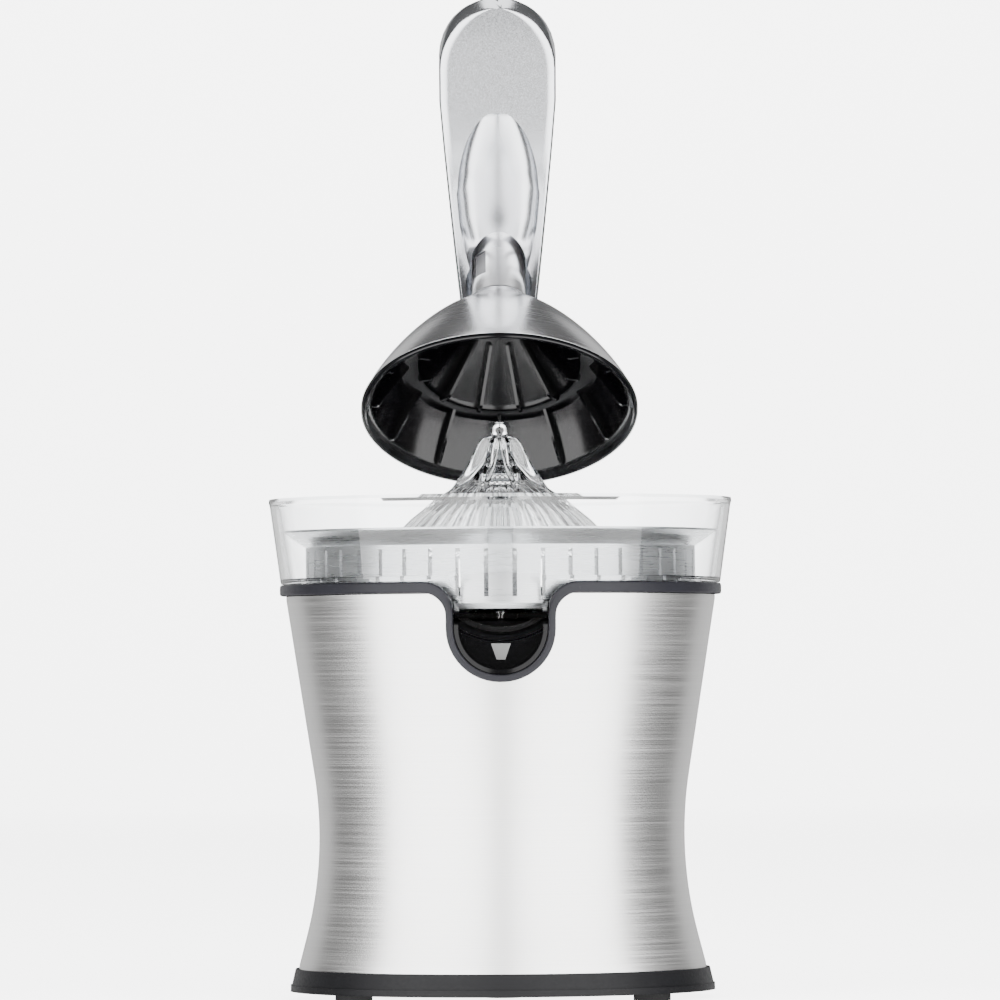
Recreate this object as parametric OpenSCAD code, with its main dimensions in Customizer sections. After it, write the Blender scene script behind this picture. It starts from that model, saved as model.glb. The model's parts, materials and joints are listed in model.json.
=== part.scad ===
/* [Body] */
// Radius of the steel housing at its narrowest, the waist
waist_r = 69.4; // [66:0.1:72]
// Height of the waist above the table
waist_z = 62; // [55:1:70]
// Radius of the curve that forms the waist
waist_curve_r = 150; // [130:1:180]
// Height of the housing's lower edge
shell_bottom_z = 11.5; // [11.5:0.1:12]
// Height of the housing's upper edge, under the trim ring
shell_top_z = 152.5; // [152:0.1:152.7]
// Thickness of the housing's sheet steel
sheet_t = 1; // [0.6:0.1:1.2]
// Outer radius of the trim ring
trim_r = 84; // [83.5:0.1:85]

/* [Bowl and strainer] */
// Outer radius of the juice bowl's rim
bowl_r = 88; // [87:0.5:90]
// Height of the juice bowl's rim
bowl_top_z = 189.4; // [186:0.2:192]
// Thickness of the juice bowl's wall
bowl_t = 2; // [1.6:0.1:2.4]
// Radius of the strainer's flange
strainer_r = 82; // [80:0.5:82.5]
// Number of slots around the strainer
strainer_slots = 44; // [30:1:48]
// Width of one strainer slot
slot_w = 1.7; // [1.2:0.1:2]

/* [Reamer] */
// Height of the reamer's tip
reamer_top_z = 219; // [216:0.5:219]
// Number of tall fins on the reamer
reamer_fins = 8; // [6:2:10]

/* [Lever] */
// Distance of the lever's hinge behind the drive axis
hinge_y = 100; // [100:0.5:102]
// Height of the lever's hinge
hinge_z = 145; // [144:0.5:146]
// Angle between the raised and the pressed lever
lift_angle = 30.5; // [28:0.5:31]
// Half of the lever's width at its spoon-shaped tip
tip_half_w = 22.4; // [20:0.2:24]
// Half of the lever's width at its hinge
stem_half_w = 7; // [7:0.1:7]

/* [Dome] */
// Outer radius of the pressing dome
dome_r = 53.2; // [51:0.2:54]
// Height of the dome's rim when the lever is pressed
dome_rim_z = 177.2; // [177:0.2:180]
// Number of ribs in each of the two tiers inside the dome
liner_ribs = 12; // [8:1:16]

/* [Gearing] */
// Teeth on both pinions
pinion_teeth = 12; // [12:1:12]
// Teeth on both large gears
gear_teeth = 48; // [48:1:48]
// Module of the first stage's teeth
module_1 = 1; // [1:0.05:1]
// Module of the second stage's teeth
module_2 = 1.25; // [1.25:0.05:1.25]

/* [Hidden] */
$fn = 96;

// ---- shared measures ----
eps = 0.01;                    // makes a cut run past the face that it opens
fit = 0.05;                    // radial clearance of a running fit
gap = 0.3;                     // gap between pieces that move past each other

shell_flare_z = 85;            // above this the housing is a straight cone
shell_foot_z = 24;             // below this too
top_slope = 0.1556;            // radius gained per mm of height in the upper cone
foot_slope = 0.26;             // radius gained per mm downwards in the foot

// Outer radius of the housing at height z
function waist(z) = waist_r + waist_curve_r - sqrt(waist_curve_r * waist_curve_r - (z - waist_z) * (z - waist_z));
function shell_r(z) =
  z > shell_flare_z ? waist(shell_flare_z) + (z - shell_flare_z) * top_slope
  : z < shell_foot_z ? waist(shell_foot_z) + (shell_foot_z - z) * foot_slope
  : waist(z);

// Heights between two levels that cut the housing's outline into short steps
outline_step = 4;
function levels(low, high) = [
  for (i = [0 : ceil((high - low) / outline_step)]) min(low + i * outline_step, high)
];

// A ring that follows the housing, between two offsets from its outer face
module shell_band(low, high, inside, outside) {
  zs = levels(low, high);
  rotate_extrude()
    polygon(concat(
      [for (z = zs) [shell_r(z) + outside, z]],
      [for (i = [len(zs) - 1 : -1 : 0]) [shell_r(zs[i]) + inside, zs[i]]]
    ));
}

// Everything inside the housing's outer face plus an offset
module shell_core(low, high, outside) {
  zs = levels(low, high);
  rotate_extrude()
    polygon(concat([[0, low]], [for (z = zs) [shell_r(z) + outside, z]], [[0, high]]));
}

// A tube or disc on the Z axis
module tube(r_out, r_in, low, high) {
  translate([0, 0, low])
    difference() {
      cylinder(r = r_out, h = high - low);
      translate([0, 0, -1]) cylinder(r = r_in, h = high - low + 2);
    }
}

// A cylinder along Y, from one y to another
module bar_y(r, from, to) {
  translate([0, to, 0]) rotate([90, 0, 0]) cylinder(r = r, h = to - from);
}

// A cylinder along X
module bar_x(r, from, to) {
  translate([from, 0, 0]) rotate([0, 90, 0]) cylinder(r = r, h = to - from);
}

// Copies its children to each of a list of [x, y] places
module at(places) {
  for (p = places) translate([p[0], p[1], 0]) children();
}

function polar(r, a) = [r * cos(a), r * sin(a)];

// ---- spout opening in the front ----
u_half_w = 20.4;               // half width of the trim's U, outside
u_bottom_z = 119.6;            // lowest point of the trim's U
u_corner_r = 20;               // its lower corners
u_flare_r = 8.5;               // its upper corners, which flow into the trim ring
u_band_w = 2.7;                // width of the trim's band
trim_low_z = 152.8;
trim_top_z = 157;

// The U in the plane of the front, moved inwards by an inset
module u_outline(inset) {
  w = u_half_w - inset;
  r = u_corner_r - inset;
  low = u_bottom_z + inset;
  flare = u_flare_r + inset;
  translate([-w, low + r]) square([2 * w, trim_top_z + 1 - low - r]);
  translate([r - w, low]) square([2 * (w - r), r + eps]);
  for (side = [-1, 1]) {
    translate([side * (w - r), low + r]) circle(r = r);
    difference() {
      translate([side * (w + flare / 2), trim_top_z + 1 - (flare + 1) / 2])
        square([flare, flare + 1], center = true);
      translate([side * (w + flare), trim_top_z - flare]) circle(r = flare);
      translate([side * (w + flare), trim_top_z - flare - 1 + eps]) square([2, 2], center = true);
    }
  }
}

// The U as a prism through the front wall, from one y to another
module u_prism(inset, from, to) {
  translate([0, to, 0]) rotate([90, 0, 0]) linear_extrude(to - from) u_outline(inset);
}

spout_arc_r = 27;              // radius of the spout's trough
spout_low_z = 138;             // lowest point of the trough, outside
spout_half_w = 17.4;
spout_front_y = -92;
spout_rear_y = -60;
spout_axis_z = spout_low_z + spout_arc_r;

// A round trough's space along Y
module spout_space(r, from, to) {
  translate([0, 0, spout_axis_z]) bar_y(r, from, to);
}

// ---- housing, base and deck ----
steel = [0.78, 0.78, 0.77];
dark_grey = [0.22, 0.22, 0.23];
black = [0.05, 0.05, 0.05];
brass = [0.75, 0.6, 0.35];
clear = [0.85, 0.9, 0.92, 0.4];

post_r = 4;
post_places = [for (a = [62, 118, 225, 315]) polar(63.5, a)];
foot_places = concat([for (a = [45, 135, 212, 328]) polar(66, a)], [[0, 0]]);
screw_shank_r = 1.5;
screw_head_r = 3;
gland_z = 34;
gland_r = 8;
cord_r = 3.5;
hinge_screw_x = 17;
hinge_screw_zs = [113, 134];

module hinge_screw_holes(r, from, to) {
  for (x = [-hinge_screw_x, hinge_screw_x], z = hinge_screw_zs)
    translate([x, 0, z]) bar_y(r, from, to);
}

module housing_shell() {
  color(steel) difference() {
    shell_band(shell_bottom_z, shell_top_z, -sheet_t, 0);
    u_prism(1, -95, -50);
    translate([0, 0, gland_z]) bar_y(gland_r + 0.2, 50, 90);
    hinge_screw_holes(2, 50, 95);
  }
}

tray_low_z = 3;
tray_floor_z = 5.5;
tray_boss_top_z = 9;

module base_tray() {
  color(black) difference() {
    union() {
      tube(80.6, 0, tray_low_z, tray_floor_z);
      rotate_extrude()
        polygon([[73, tray_low_z], [80.7, tray_low_z], [78.7, shell_bottom_z], [73, shell_bottom_z]]);
      tube(74.6, 73, shell_bottom_z - 1, 15.5);
      at(post_places) tube(5.5, 0, tray_low_z, tray_boss_top_z);
    }
    at(foot_places) translate([0, 0, tray_low_z - 1]) cylinder(r = 7.1, h = 2);
    at(post_places) {
      translate([0, 0, tray_low_z - 1]) cylinder(r = screw_head_r + 0.3, h = 4.5);
      cylinder(r = screw_shank_r + 0.2, h = 20);
    }
    for (a = [0 : 22.5 : 337.5]) rotate(a + 11.25) translate([34, 0, 4]) cube([18, 3, 6], center = true);
  }
}

module rubber_feet() {
  color(black) at(foot_places) cylinder(r = 7, h = 4);
}

module base_screws() {
  color(steel) at(post_places) {
    translate([0, 0, 4.4]) cylinder(r = screw_head_r, h = 2.1);
    translate([0, 0, 6]) cylinder(r = screw_shank_r, h = 16);
  }
}

module trim_ring() {
  color(dark_grey) {
    difference() {
      tube(trim_r, 80.9, trim_low_z, trim_top_z);
      u_prism(u_band_w, -95, -50);
    }
    difference() {
      intersection() {
        shell_band(u_bottom_z - 1, trim_low_z, 0.05, 1.2);
        u_prism(0, -95, -50);
      }
      u_prism(u_band_w, -95, -50);
    }
  }
}

deck_low_z = 140;
deck_top_z = 156.8;
tower_r = 9;
tower_top_z = 164;
bearing_r = 7;
shaft_r = 4;
hex_r = 4;
gearbox_ears = [[-29, -29], [29, -29], [-33, 30], [33, 30]];
cover_top_z = 127;

module top_deck() {
  color(black) difference() {
    union() {
      difference() {
        rotate_extrude()
          polygon([
            [0, deck_low_z], [78.4, deck_low_z], [80.4, 152.4], [80.7, trim_low_z], [80.7, deck_top_z],
            [79, deck_top_z], [77.1, 142.4], [0, 142.4]
          ]);
        u_prism(u_band_w, -95, -66);
      }
      intersection() {
        spout_space(spout_arc_r + 3, -69.6, -56);
        translate([-18.5, -72, 120]) cube([37, 20, 22.4]);
      }
      tube(tower_r, 0, deck_low_z, tower_top_z);
      at(post_places) tube(post_r, 0, tray_boss_top_z, deck_low_z + 1);
      at(gearbox_ears) tube(4.5, 0, cover_top_z, deck_low_z + 1);
    }
    spout_space(spout_arc_r + 1, -95, -58);
    translate([0, 0, deck_low_z - 1]) cylinder(r = bearing_r - 1, h = 40);
    translate([0, 0, 150]) cylinder(r = bearing_r, h = 40);
    at(post_places) cylinder(r = screw_shank_r + fit, h = 24);
    at(gearbox_ears) translate([0, 0, cover_top_z - 1]) cylinder(r = screw_shank_r + fit, h = 12);
  }
}

module spout_pocket() {
  color(black) difference() {
    intersection() {
      shell_core(u_bottom_z, 141, -0.4);
      u_prism(u_band_w + 0.1, -95, -68);
    }
    u_prism(u_band_w + 1.9, -95, -70);
    spout_space(spout_arc_r + 3.3, -71, -50);
    spout_space(spout_arc_r + 1, -95, -50);
  }
}

marker_low_z = 128;
marker_top_z = 134;

module outlet_marker() {
  color([0.75, 0.75, 0.75]) translate([0, -70, 0]) rotate([90, 0, 0]) linear_extrude(0.6)
    polygon([[-1.6, marker_low_z], [1.6, marker_low_z], [3.7, marker_top_z], [-3.7, marker_top_z]]);
}

module upper_bush() {
  color(brass) tube(bearing_r, shaft_r + fit, 150, 158);
}

module shaft_seal() {
  color(black) tube(bearing_r, shaft_r + 0.1, 159, 163.5);
}

// ---- drive train ----
idler_y = (pinion_teeth + gear_teeth) / 2 * module_2;
stage_1_reach = (pinion_teeth + gear_teeth) / 2 * module_1;
motor_dir = -42.5;             // from the idler to the motor
motor_x = stage_1_reach * cos(motor_dir);
motor_y = idler_y + stage_1_reach * sin(motor_dir);
case_low_z = 95;
case_top_z = 124;
bolt_reach = 27;               // from the motor's axis to its two long bolts
bolt_dir = 100;
bolt_places = [for (s = [-1, 1]) [motor_x + s * bolt_reach * cos(bolt_dir), motor_y + s * bolt_reach * sin(bolt_dir)]];

module on_motor() {
  translate([motor_x, motor_y, 0]) children();
}

module on_idler() {
  translate([0, idler_y, 0]) children();
}

// Outline of the gearbox, less a wall thickness
module gearbox_outline(inset) {
  circle(r = 38 - inset);
  translate([0, idler_y]) circle(r = 28.5 - inset);
  translate([-28.5 + inset, 0]) square([57 - 2 * inset, idler_y]);
}

module gearbox_case() {
  color(dark_grey) difference() {
    union() {
      translate([0, 0, case_low_z]) linear_extrude(case_top_z - case_low_z) gearbox_outline(0);
      at(gearbox_ears) tube(5, 0, 118, case_top_z);
      at(bolt_places) tube(4, 0, 74, case_low_z + 1);
      tube(bearing_r + 2, 0, case_low_z - 2, 99);
    }
    difference() {
      translate([0, 0, 97.5]) linear_extrude(40) gearbox_outline(2);
      tube(bearing_r + 2, 0, 90, 99);
    }
    translate([0, 0, 90]) cylinder(r = bearing_r, h = 20);
    at(gearbox_ears) translate([0, 0, 110]) cylinder(r = screw_shank_r + 0.2, h = 30);
    at(bolt_places) translate([0, 0, 70]) cylinder(r = 2 + fit, h = 26.5);
    on_idler() translate([0, 0, 90]) cylinder(r = 2.5 + fit, h = 20);
    on_motor() translate([0, 0, 90]) cylinder(r = 4, h = 20);
  }
}

module gearbox_cover() {
  color(dark_grey) difference() {
    union() {
      translate([0, 0, case_top_z]) linear_extrude(cover_top_z - case_top_z) gearbox_outline(0);
      at(gearbox_ears) tube(5, 0, case_top_z, cover_top_z);
    }
    cylinder(r = shaft_r + 0.5, h = 200);
    at(gearbox_ears) cylinder(r = screw_shank_r + 0.2, h = 200);
    on_idler() cylinder(r = 2.5 + fit, h = 200);
  }
}

module gearbox_screws() {
  color(steel) at(gearbox_ears) {
    translate([0, 0, 115.9]) cylinder(r = screw_head_r, h = 2.1);
    translate([0, 0, 117]) cylinder(r = screw_shank_r, h = 20);
  }
}

module lower_bush() {
  color(brass) tube(bearing_r, shaft_r + fit, 93, 99);
}

module idler_pin() {
  color(steel) on_idler() translate([0, 0, 95.5]) cylinder(r = 2.5, h = 31);
}

// Involute gear outline with stub teeth; the first tooth points along +X
pressure_angle = 20;
stub = 0.75;                   // tooth height above the pitch circle, in modules
root_depth = 1.05;             // and below it
backlash = 0.12;               // taken off each tooth at the pitch circle, in modules
function involute(a) = tan(a) * 180 / PI - a;
function flank_angle(rb, r) = r > rb ? involute(acos(rb / r)) : 0;

module gear_outline(teeth, mod) {
  rp = teeth * mod / 2;
  rb = rp * cos(pressure_angle);
  ra = rp + stub * mod;
  rr = rp - root_depth * mod;
  half = 90 / teeth - backlash / teeth * 180 / PI + involute(pressure_angle);
  flank = [rr, max(rr, rb), (max(rr, rb) + rp) / 2, rp, (rp + ra) / 2, ra];
  polygon([
    for (i = [0 : teeth - 1], side = [-1, 1], n = [0 : 5])
      let (r = side < 0 ? flank[n] : flank[5 - n], a = 360 / teeth * i + side * (half - flank_angle(rb, r)))
      polar(r, a)
  ]);
}

module output_gear() {
  color("ivory") difference() {
    union() {
      translate([0, 0, 111]) linear_extrude(10) gear_outline(gear_teeth, module_2);
      tube(9, 0, 105, 122);
    }
    for (a = [0 : 60 : 300]) rotate(a + 30) translate([18, 0, 100]) cylinder(r = 6, h = 30);
    cylinder(r = hex_r + 0.15, h = 200, $fn = 6);
  }
}

module idler_gear() {
  color("ivory") on_idler() difference() {
    union() {
      translate([0, 0, 101]) rotate(motor_dir) linear_extrude(8) gear_outline(gear_teeth, module_1);
      translate([0, 0, 108]) rotate(180 / pinion_teeth) linear_extrude(14) gear_outline(pinion_teeth, module_2);
      tube(5, 0, 99, 102);
    }
    cylinder(r = 2.5 + fit, h = 200);
  }
}

module motor_pinion() {
  color(brass) on_motor() difference() {
    translate([0, 0, 100.5]) rotate(motor_dir + 180 + 180 / pinion_teeth)
      linear_extrude(9) gear_outline(pinion_teeth, module_1);
    cylinder(r = 3, h = 200);
  }
}

module motor_shaft() {
  color(steel) on_motor() translate([0, 0, 17]) cylinder(r = 3, h = 93);
}

module rotor_core() {
  color(dark_grey) on_motor() difference() {
    tube(18, 3, 30, 62);
    for (a = [0 : 30 : 330]) rotate(a) translate([17, -0.8, 20]) cube([3, 1.6, 50]);
  }
}

module commutator() {
  color(brass) on_motor() tube(10, 3, 63, 69);
}

module cooling_fan() {
  color("ivory") on_motor() difference() {
    union() {
      tube(6, 3, 76, 86);
      tube(14, 3, 76, 77.5);
      for (a = [0 : 36 : 324]) rotate(a) translate([5, -0.6, 76]) cube([8.6, 1.2, 9]);
    }
    cylinder(r = 3, h = 200);
  }
}

module motor_stator() {
  color(steel) on_motor() difference() {
    tube(32, 18.6, 30, 62);
    for (s = [-1, 1]) translate([s * bolt_reach * cos(bolt_dir), s * bolt_reach * sin(bolt_dir), 20])
      cylinder(r = 2.2, h = 50);
  }
}

module motor_windings() {
  color([0.7, 0.35, 0.15]) on_motor() {
    tube(24, 19, 22, 30);
    tube(24, 19, 62, 70);
  }
}

// A motor end bracket: a bar with a seat for its bush
module end_bracket(low) {
  color(steel) on_motor() difference() {
    union() {
      tube(12, 6, low, low + 3);
      rotate(bolt_dir) translate([-32, -6, low]) cube([64, 12, 3]);
    }
    translate([0, 0, low - 1]) cylinder(r = 6, h = 5);
    for (s = [-1, 1]) rotate(bolt_dir) translate([s * bolt_reach, 0, low - 1]) cylinder(r = 2.2, h = 5);
  }
}

module motor_upper_bracket() {
  end_bracket(71);
}

module motor_lower_bracket() {
  end_bracket(18);
}

module motor_bushes() {
  color(brass) on_motor() for (low = [18, 71]) tube(6, 3 + fit, low, low + 3);
}

module motor_bolts() {
  color(steel) at(bolt_places) {
    translate([0, 0, 15.5]) cylinder(r = 3.6, h = 2.5);
    translate([0, 0, 17]) cylinder(r = 2, h = 78);
  }
}

module motor_brushes() {
  color(dark_grey) on_motor() for (a = [0, 180])
    rotate(bolt_dir + a) translate([10.2, -3, 64]) cube([7, 6, 7]);
}

strap_low_z = 79;
strap_t = 1.5;

module switch_bracket() {
  color(steel) difference() {
    union() {
      translate([-32, -10, strap_low_z]) cube([40, 20, strap_t]);
      translate([8, -10, strap_low_z]) cube([6, 9, strap_t]);
      translate([-32, -10, strap_low_z]) cube([strap_t, 20, case_low_z - strap_low_z]);
      translate([14 - strap_t, -10, strap_low_z]) cube([strap_t, 9, case_low_z - strap_low_z]);
    }
    translate([0, 0, 70]) cylinder(r = 3 + fit, h = 20);
  }
}

module microswitch_body() {
  color(black) difference() {
    translate([-29, -4, strap_low_z + strap_t]) cube([14, 8, 6]);
    translate([-24, -1.6, 81.6]) cube([4, 3.2, 10]);
  }
}

module switch_button() {
  color("firebrick") translate([-23.6, -1.2, 84]) cube([3.2, 2.4, 4.9]);
}

module press_plunger() {
  color("ivory") {
    translate([0, 0, 89]) cylinder(r = 6.6, h = 2.9);
    translate([0, 0, 77]) cylinder(r = 3, h = 13);
    translate([-25, -3, 89]) cube([24, 6, 2]);
  }
}

module drive_shaft() {
  color(steel) {
    translate([0, 0, 92]) cylinder(r = shaft_r, h = 11);
    translate([0, 0, 103]) cylinder(r = hex_r, h = 21.5, $fn = 6);
    translate([0, 0, 124.5]) cylinder(r = shaft_r, h = 44.5);
    translate([0, 0, 169]) cylinder(r = hex_r, h = 17, $fn = 6);
    tube(6, 0, 103, 104.8);
  }
}

// A round wire wound into a coil, standing on the XY plane
module coil(r, wire, rise, turns) {
  sides = 6;
  steps = 20;
  rings = turns * steps;
  ring = [for (i = [0 : rings]) [r, 360 * i / steps, rise * i / rings]];
  points = [
    for (c = ring, k = [0 : sides - 1])
      let (a = 360 * k / sides, reach = c[0] + wire * cos(a))
      [reach * cos(c[1]), reach * sin(c[1]), c[2] + wire * sin(a)]
  ];
  side_faces = [
    for (i = [0 : rings - 1], k = [0 : sides - 1])
      let (n = (k + 1) % sides) [i * sides + k, (i + 1) * sides + k, (i + 1) * sides + n, i * sides + n]
  ];
  start = [for (k = [0 : sides - 1]) k];
  end = [for (k = [sides - 1 : -1 : 0]) rings * sides + k];
  polyhedron(points, concat(side_faces, [start, end]), convexity = 4);
}

module press_spring() {
  color(steel) translate([0, 0, 81.1]) coil(4.6, 0.45, 7.3, 4);
}

module terminal_block() {
  color("ivory") translate([-40, 34, tray_floor_z]) cube([20, 10, 12]);
}

module suppression_capacitor() {
  color("goldenrod") translate([-42, -12, tray_floor_z]) cube([10, 24, 14]);
}

module cord_gland() {
  color(black) translate([0, 0, gland_z]) difference() {
    union() {
      bar_y(gland_r, 63, 80);
      bar_y(gland_r + 2, 62, 65);
    }
    bar_y(cord_r, 60, 90);
  }
}

// ---- hinge ----
pin_r = 3;
ear_t = 5;
ear_low_z = 110;

module at_hinge() {
  translate([0, hinge_y, hinge_z]) children();
}

module hinge_bracket() {
  color(steel) difference() {
    union() {
      intersection() {
        shell_band(106, 151, fit, 4.5);
        translate([-22, 50, 100]) cube([44, 60, 60]);
      }
      difference() {
        for (side = [-1, 1])
          translate([side * (stem_half_w + gap + ear_t / 2) - ear_t / 2, 0, 0])
            rotate([90, 0, 90]) linear_extrude(ear_t)
              polygon([[82, ear_low_z], [82, 150.5], [hinge_y - 2, hinge_z + 9.6], [hinge_y + 2, hinge_z + 9.6],
                [hinge_y + 7.5, hinge_z + 6.3], [hinge_y + 9.6, hinge_z + 1], [hinge_y + 9, hinge_z - 4.4]]);
        shell_core(100, 160, 3);
      }
    }
    at_hinge() bar_x(pin_r + 0.02, -30, 30);
    hinge_screw_holes(2.1, 60, 95);
  }
}

module hinge_backplate() {
  color(steel) difference() {
    intersection() {
      shell_band(107, 138, -sheet_t - 4, -sheet_t - fit);
      translate([-22, 50, 100]) cube([44, 60, 60]);
    }
    hinge_screw_holes(1.9 + fit, 50, 95);
  }
}

module hinge_screws() {
  color(steel) for (x = [-hinge_screw_x, hinge_screw_x], z = hinge_screw_zs)
    translate([x, 0, z]) {
      bar_y(1.9, shell_r(z) - 10, shell_r(z) + 4.7);
      bar_y(screw_head_r + 0.4, shell_r(z) + 4.6, shell_r(z) + 6.6);
    }
}

module hinge_pin() {
  color(steel) at_hinge() {
    bar_x(pin_r, -14.5, 14.5);
    bar_x(pin_r + 2, 12.4, 14.5);
    bar_x(pin_r + 1.4, -13.8, -12.5);
  }
}

// Turns what is drawn with the lever pressed into its raised place
module raised() {
  translate([0, hinge_y, hinge_z]) rotate([-lift_angle, 0, 0]) translate([0, -hinge_y, -hinge_z]) children();
}

// ---- lever, drawn pressed ----
tip_y = -96.6;                 // end of the arm's underside
bend_y = 68;                   // where the underside starts to bend down to the hinge
stem_y = 91.5;                 // the stem's face towards the bowl
back_y = 111;                  // and its back
knuckle_half_gap = 3.6;
floor_rise = 9;                // depth of the channel under the arm
channel_front_y = -64;
channel_full_y = -36;
channel_slope = -29.5;         // slope of the channel's rounded floor
channel_rear_y = 6;
channel_half_w = 15.6;
recess_r = 12.9;               // round recess that the coupler stands in
coupler_r = 10.4;
coupler_low_z = 229;
coupler_top_z = 252;

function underside_z(y) = 236 - 0.475 * y + 0.00156 * y * y;
function top_side_z(y) = 262 - 0.41 * y + 0.0006 * y * y;
tip_l = 18.5;                  // length of the rounded tip, seen from above
function arm_half_w(y) =
  y < tip_y + tip_l ? tip_half_w * sqrt(max(0, 1 - pow((tip_y + tip_l - y) / tip_l, 2)))
  : max(stem_half_w, min(tip_half_w, 15.85 - 0.1 * y));
function channel_w(y) =
  y < channel_full_y ? channel_half_w * sqrt(max(0, 1 - pow((channel_full_y - y) / (channel_full_y - channel_front_y), 2)))
  : min(channel_half_w, arm_half_w(y) - 2.6) * pow(max(0, (channel_rear_y - y) / (channel_rear_y + 30)), 0.2);
function bend(a, b, c, t) = (1 - t) * (1 - t) * a + 2 * t * (1 - t) * b + t * t * c;

module arm_side() {
  under = [for (y = [tip_y : 10 : bend_y]) [y, underside_z(y)]];
  inner_bend = [for (t = [0 : 0.2 : 1])
    bend([bend_y, underside_z(bend_y)], [stem_y, 201], [stem_y, 186], t)];
  outer_bend = [for (t = [0 : 0.125 : 1]) bend([back_y, 192], [back_y, 223], [84, top_side_z(84)], t)];
  over = [for (y = [80 : -10 : -90]) [y, top_side_z(y)]];
  polygon(concat(under, inner_bend, [[stem_y, hinge_z], [hinge_y + 9, hinge_z]], outer_bend, over,
    [[tip_y + 1.6, top_side_z(tip_y + 1.6)], [tip_y - 0.4, top_side_z(tip_y) - 3]]));
  translate([hinge_y, hinge_z]) circle(r = 9);
}

// Mirrors a half width over x = 0 into an outline seen from above
module plan(ys, half_ws) {
  n = len(ys);
  polygon(concat([for (i = [0 : n - 1]) [half_ws[i], ys[i]]], [for (i = [n - 1 : -1 : 0]) [-half_ws[i], ys[i]]]));
}

module lever_arm() {
  plan_ys = concat([for (a = [4 : 12 : 88]) tip_y + tip_l * (1 - cos(a))], [for (y = [-60 : 15 : 90]) y], [115]);
  channel_ys = concat([channel_front_y + 0.2, channel_front_y + 1, channel_front_y + 2.4], [for (y = [-60 : 4 : 4]) y], [channel_rear_y - 0.4]);
  color(steel) raised() difference() {
    intersection() {
      rotate([90, 0, 90]) translate([0, 0, -tip_half_w]) linear_extrude(2 * tip_half_w) arm_side();
      translate([0, 0, 100]) linear_extrude(250) plan(plan_ys, [for (y = plan_ys) arm_half_w(y)]);
    }
    intersection() {
      rotate([90, 0, 90]) translate([0, 0, -tip_half_w]) linear_extrude(2 * tip_half_w)
        polygon(concat(
          [for (y = channel_ys) [y, underside_z(y) - 6]],
          [for (i = [len(channel_ys) - 1 : -1 : 0]) [channel_ys[i], underside_z(channel_ys[i]) + floor_rise]]
        ));
      translate([0, 0, 100]) linear_extrude(250) plan(channel_ys, [for (y = channel_ys) channel_w(y)]);
      translate([0, 0, underside_z(0) - 8.2]) rotate([channel_slope, 0, 0]) bar_y(channel_half_w + 1.6, -80, 20);
    }
    translate([0, 0, 220]) cylinder(r = recess_r, h = coupler_top_z - 220);
    translate([-knuckle_half_gap, 80, 125]) cube([2 * knuckle_half_gap, 50, 33]);
    at_hinge() bar_x(4.5, -20, 20);
  }
}

module hinge_bushes() {
  color(brass) raised() at_hinge() difference() {
    for (x = [-stem_half_w, knuckle_half_gap]) bar_x(4.5, x, x + stem_half_w - knuckle_half_gap);
    bar_x(pin_r + fit, -20, 20);
  }
}

module lever_spring() {
  color(steel) at_hinge() rotate([0, 90, 0]) translate([0, 0, -2.6]) coil(4.6, 0.6, 5.2, 4);
}

latch_dir = -136;              // the latch's window, round the coupler
latch_low_z = 236;
latch_w = 5.6;
latch_h = 9.6;
stud_r = 6;
groove_r = 4.6;

module coupler_sleeve() {
  color(steel) raised() difference() {
    tube(coupler_r, stud_r + fit, coupler_low_z, coupler_top_z);
    rotate(latch_dir) translate([5, -latch_w / 2 - 0.3, latch_low_z - 0.3]) cube([10, latch_w + 0.6, latch_h + 0.6]);
  }
}

module latch_button() {
  color(dark_grey) raised() rotate(latch_dir) translate([7, -latch_w / 2, latch_low_z])
    cube([2.6, latch_w, latch_h]);
}

// ---- dome, drawn pressed, on its own rim plane ----
shell_height = 52;
neck_h = 51;
function dome_out(h) = (dome_r + 0.3) * pow(1 - pow(h / shell_height, 1.2), 1 / 1.6);
dome_steps = [2, 5, 10, 15, 20, 25, 30, 35, 39, 43, 46];

module on_rim() {
  raised() translate([0, 0, dome_rim_z]) children();
}

module dome_shell() {
  n = len(dome_steps);
  color(steel) on_rim() rotate_extrude() polygon(concat(
    [for (h = dome_steps) [dome_out(h), h]],
    [[12.4, 48.6], [11.2, neck_h], [stud_r + 0.1, neck_h], [stud_r + 0.1, neck_h - 1.2], [9.8, neck_h - 1.2]],
    [for (i = [n - 1 : -1 : 0]) [dome_out(dome_steps[i]) - 1.3, dome_steps[i] - (i > 8 ? 1 : 0)]]
  ));
}

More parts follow.
